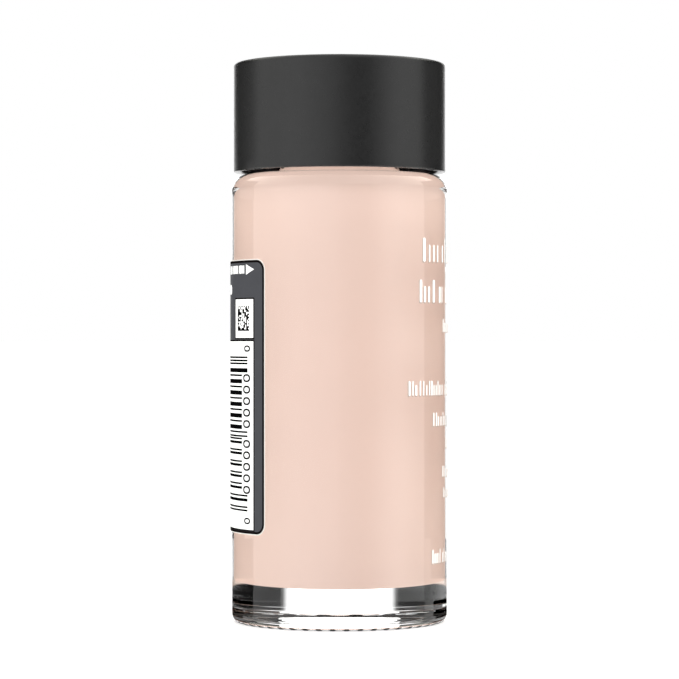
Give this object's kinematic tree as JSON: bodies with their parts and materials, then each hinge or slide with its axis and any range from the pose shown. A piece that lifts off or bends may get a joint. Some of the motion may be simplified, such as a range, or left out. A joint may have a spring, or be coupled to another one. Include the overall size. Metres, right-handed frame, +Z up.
{
  "type": "foundation bottle",
  "caption": "Round thick-walled glass foundation bottle with a satin black screw cap over an orifice reducer, and a peel-back label on its side.",
  "frame": {"origin": "centre of the plane that the bottle stands on", "axes": "+Z up along the bottle's axis; -Y towards the printed front; +Y towards the side label, whose free edge is towards -X and whose fold line is towards +X"},
  "size_m": [0.036, 0.0361, 0.0924],
  "materials": {
    "flint_glass": "clear, polished",
    "foundation": "opaque peach-beige liquid, smooth against the glass",
    "natural_polyethylene": "natural, slightly translucent",
    "liner_foam": "white foamed sheet",
    "insert_polypropylene": "moulded black",
    "satin_black_plastic": "satin black with soft streaks of light",
    "label_base_film": "cream film",
    "label_leaf_film": "dark grey print on film, satin"
  },
  "bodies": {
    "bottle": {"glass_bottle": "flint_glass", "foundation_liquid": "foundation", "orifice_reducer": "natural_polyethylene", "back_label_base": "label_base_film"},
    "liner": {"cap_liner": "liner_foam"},
    "cap": {"cap_shell": "satin_black_plastic", "cap_thread_insert": "insert_polypropylene"},
    "leaf": {"label_leaf": "label_leaf_film"}
  },
  "joints": [
    {"name": "cap_travel", "type": "slide", "parent": "bottle", "child": "liner", "axis": [0, 0, 1], "range_m": [0, 0.016]},
    {"name": "cap_turn", "type": "hinge", "parent": "liner", "child": "cap", "pos_m": [0, 0, 0.08], "axis": [0, 0, 1], "range_deg": [0, 1800]},
    {"name": "leaf_peel", "type": "hinge", "parent": "bottle", "child": "leaf", "pos_m": [0.01343, 0.0122, 0.03732], "axis": [0, 0, -1], "range_deg": [0, 150]}
  ],
  "couplings": [
    {"joint": "cap_travel", "follows": "cap_turn", "m_per_rad": 0.00050532}
  ]
}
